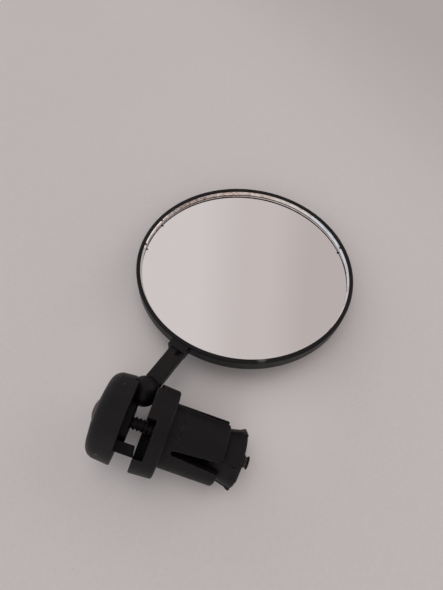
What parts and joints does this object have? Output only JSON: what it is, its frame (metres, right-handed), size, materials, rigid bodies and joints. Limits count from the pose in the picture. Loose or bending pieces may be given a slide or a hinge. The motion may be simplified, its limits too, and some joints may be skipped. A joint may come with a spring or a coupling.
{
  "type": "bar end bicycle mirror",
  "caption": "Round convex mirror on a short ball-jointed arm, clamped to an expanding plug that fits inside the open end of a bicycle handlebar.",
  "frame": {"origin": "on the plug axis, in the plane of the flange face that meets the end of the handlebar", "axes": "+X along the plug, into the bar; +Z roughly the way the mirror faces; +Y from the plug towards the mirror"},
  "size_m": [0.0755, 0.1143, 0.0262],
  "materials": {
    "mirror": "polished",
    "bright_trim": "polished",
    "black_foam": "matte",
    "black_plastic": "satin",
    "cap_plastic": "satin",
    "plug_plastic": "matte",
    "dark_steel": "blackened"
  },
  "bodies": {
    "plug": {"plug_body": "plug_plastic"},
    "cap": {"end_cap": "cap_plastic", "clamp_plate": "black_plastic", "head_washer": "dark_steel"},
    "screw": {"clamp_screw": "dark_steel"},
    "wedge": {"expander_wedge": "plug_plastic", "captive_nut": "dark_steel"},
    "top_finger": {"finger_top": "plug_plastic"},
    "front_finger": {"finger_front": "plug_plastic"},
    "bottom_finger": {"finger_bottom": "plug_plastic"},
    "rear_finger": {"finger_rear": "plug_plastic"},
    "ball": {"swivel_ball": "black_plastic"},
    "arm": {"arm": "black_plastic"},
    "mirror_head": {"rear_shell": "black_plastic", "front_bezel": "black_plastic", "mirror_plate": "mirror", "trim_ring": "bright_trim", "edge_gasket": "black_foam", "foam_ring": "black_foam", "lug_pin": "dark_steel"}
  },
  "joints": [
    {"name": "cap_close", "type": "slide", "parent": "plug", "child": "cap", "axis": [1, 0, 0], "range_m": [0, 0.0009]},
    {"name": "screw_turn", "type": "hinge", "parent": "cap", "child": "screw", "pos_m": [0, 0, 0], "axis": [1, 0, 0], "range_deg": [0, 1080]},
    {"name": "wedge_pull", "type": "slide", "parent": "plug", "child": "wedge", "axis": [-1, 0, 0], "range_m": [0, 0.0036]},
    {"name": "finger_top_spread", "type": "hinge", "parent": "plug", "child": "top_finger", "pos_m": [0.0032, 0.00158, 0.00812], "axis": [0, -0.9816, 0.1908], "range_deg": [0, 4.1]},
    {"name": "finger_front_spread", "type": "hinge", "parent": "plug", "child": "front_finger", "pos_m": [0.0032, -0.00812, 0.00158], "axis": [0, -0.1908, -0.9816], "range_deg": [0, 4.1]},
    {"name": "finger_bottom_spread", "type": "hinge", "parent": "plug", "child": "bottom_finger", "pos_m": [0.0032, -0.00158, -0.00812], "axis": [0, 0.9816, -0.1908], "range_deg": [0, 4.1]},
    {"name": "finger_rear_spread", "type": "hinge", "parent": "plug", "child": "rear_finger", "pos_m": [0.0032, 0.00812, -0.00158], "axis": [0, 0.1908, 0.9816], "range_deg": [0, 4.1]},
    {"name": "ball_swing", "type": "hinge", "parent": "plug", "child": "ball", "pos_m": [-0.0105, 0.00938, 0.00149], "axis": [1, 0, 0], "range_deg": [-50, 68]},
    {"name": "arm_tilt", "type": "hinge", "parent": "ball", "child": "arm", "pos_m": [-0.0105, 0.00938, 0.00149], "axis": [0, 0, 1], "range_deg": [-1, 8]},
    {"name": "mirror_twist", "type": "hinge", "parent": "arm", "child": "mirror_head", "pos_m": [-0.0105, 0.00938, 0.00149], "axis": [0.309, 0.9511, 0], "range_deg": [-90, 90]}
  ],
  "couplings": [
    {"joint": "screw_turn", "follows": "wedge_pull", "rad_per_m": 5236},
    {"joint": "finger_top_spread", "follows": "wedge_pull", "rad_per_m": 17.647},
    {"joint": "finger_front_spread", "follows": "wedge_pull", "rad_per_m": 17.647},
    {"joint": "finger_bottom_spread", "follows": "wedge_pull", "rad_per_m": 17.647},
    {"joint": "finger_rear_spread", "follows": "wedge_pull", "rad_per_m": 17.647}
  ]
}
